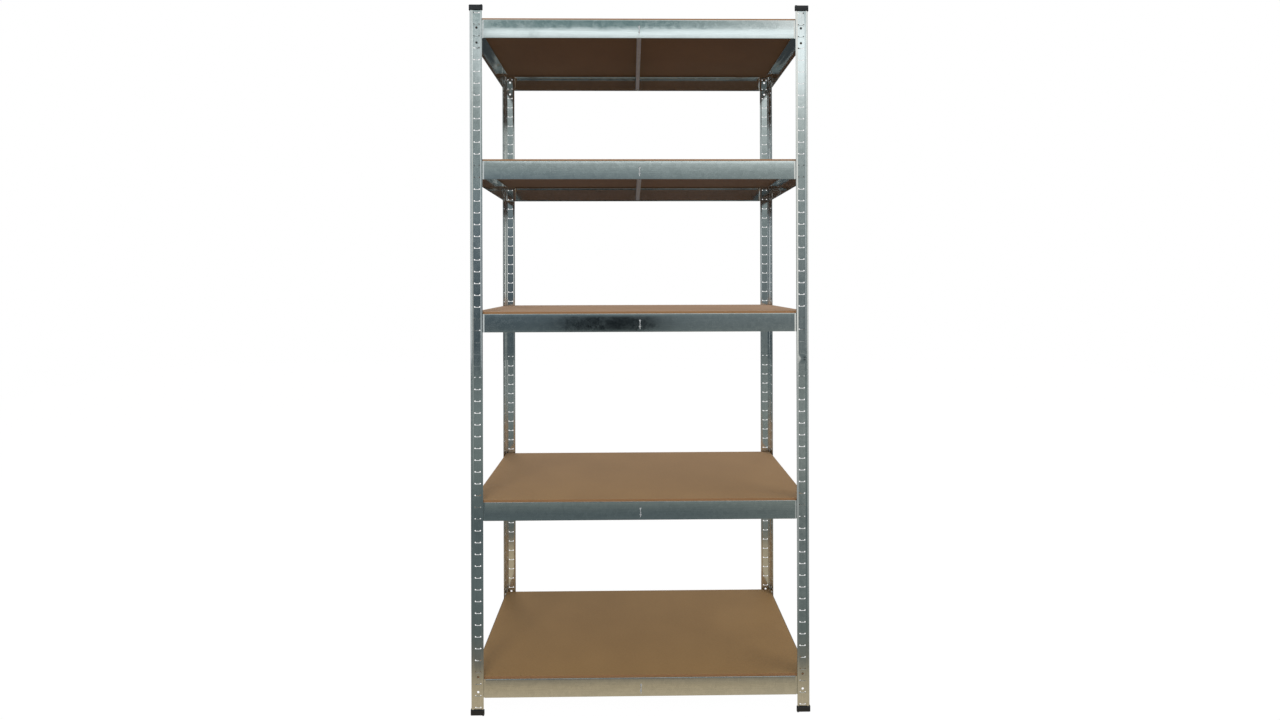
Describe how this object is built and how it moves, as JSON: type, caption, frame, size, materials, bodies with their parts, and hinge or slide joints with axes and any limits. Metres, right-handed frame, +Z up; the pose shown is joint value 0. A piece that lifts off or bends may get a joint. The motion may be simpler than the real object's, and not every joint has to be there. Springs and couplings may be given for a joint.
{
  "type": "boltless steel shelving",
  "caption": "Tall free-standing storage rack: slotted galvanised corner posts, hook-in beams, loose fibreboard shelves, centre support bars and black plastic feet and caps.",
  "frame": {"origin": "on the floor, under the middle of the rack", "axes": "+Z up along the posts, +X along the shelves to the right, the front faces -Y"},
  "size_m": [0.871, 0.406, 1.808],
  "materials": {
    "galvanised_steel": "hot-dip galvanised sheet, faint spangle",
    "fibreboard": "plain medium-density fibreboard, unsealed",
    "black_plastic": "moulded, satin black"
  },
  "bodies": {
    "rack": {"foot_front_left": "black_plastic", "post_lower_front_left": "galvanised_steel", "post_connector_front_left": "galvanised_steel", "post_upper_front_left": "galvanised_steel", "top_cap_front_left": "black_plastic", "foot_front_right": "black_plastic", "post_lower_front_right": "galvanised_steel", "post_connector_front_right": "galvanised_steel", "post_upper_front_right": "galvanised_steel", "top_cap_front_right": "black_plastic", "foot_rear_left": "black_plastic", "post_lower_rear_left": "galvanised_steel", "post_connector_rear_left": "galvanised_steel", "post_upper_rear_left": "galvanised_steel", "top_cap_rear_left": "black_plastic", "foot_rear_right": "black_plastic", "post_lower_rear_right": "galvanised_steel", "post_connector_rear_right": "galvanised_steel", "post_upper_rear_right": "galvanised_steel", "top_cap_rear_right": "black_plastic", "beam_front_1": "galvanised_steel", "beam_rear_1": "galvanised_steel", "beam_left_1": "galvanised_steel", "beam_right_1": "galvanised_steel", "centre_bar_1": "galvanised_steel", "beam_front_2": "galvanised_steel", "beam_rear_2": "galvanised_steel", "beam_left_2": "galvanised_steel", "beam_right_2": "galvanised_steel", "centre_bar_2": "galvanised_steel", "beam_front_3": "galvanised_steel", "beam_rear_3": "galvanised_steel", "beam_left_3": "galvanised_steel", "beam_right_3": "galvanised_steel", "centre_bar_3": "galvanised_steel", "beam_front_4": "galvanised_steel", "beam_rear_4": "galvanised_steel", "beam_left_4": "galvanised_steel", "beam_right_4": "galvanised_steel", "centre_bar_4": "galvanised_steel", "beam_front_5": "galvanised_steel", "beam_rear_5": "galvanised_steel", "beam_left_5": "galvanised_steel", "beam_right_5": "galvanised_steel", "centre_bar_5": "galvanised_steel"},
    "shelf_1": {"shelf_board_1": "fibreboard"},
    "shelf_2": {"shelf_board_2": "fibreboard"},
    "shelf_3": {"shelf_board_3": "fibreboard"},
    "shelf_4": {"shelf_board_4": "fibreboard"},
    "shelf_5": {"shelf_board_5": "fibreboard"}
  },
  "joints": [
    {"name": "shelf_1_lift", "type": "slide", "parent": "rack", "child": "shelf_1", "axis": [0, 0, 1], "range_m": [0, 0.402]},
    {"name": "shelf_2_lift", "type": "slide", "parent": "rack", "child": "shelf_2", "axis": [0, 0, 1], "range_m": [0, 0.432]},
    {"name": "shelf_3_lift", "type": "slide", "parent": "rack", "child": "shelf_3", "axis": [0, 0, 1], "range_m": [0, 0.342]},
    {"name": "shelf_4_lift", "type": "slide", "parent": "rack", "child": "shelf_4", "axis": [0, 0, 1], "range_m": [0, 0.312]},
    {"name": "shelf_5_lift", "type": "slide", "parent": "rack", "child": "shelf_5", "axis": [0, 0, 1], "range_m": [0, 0.2]}
  ]
}
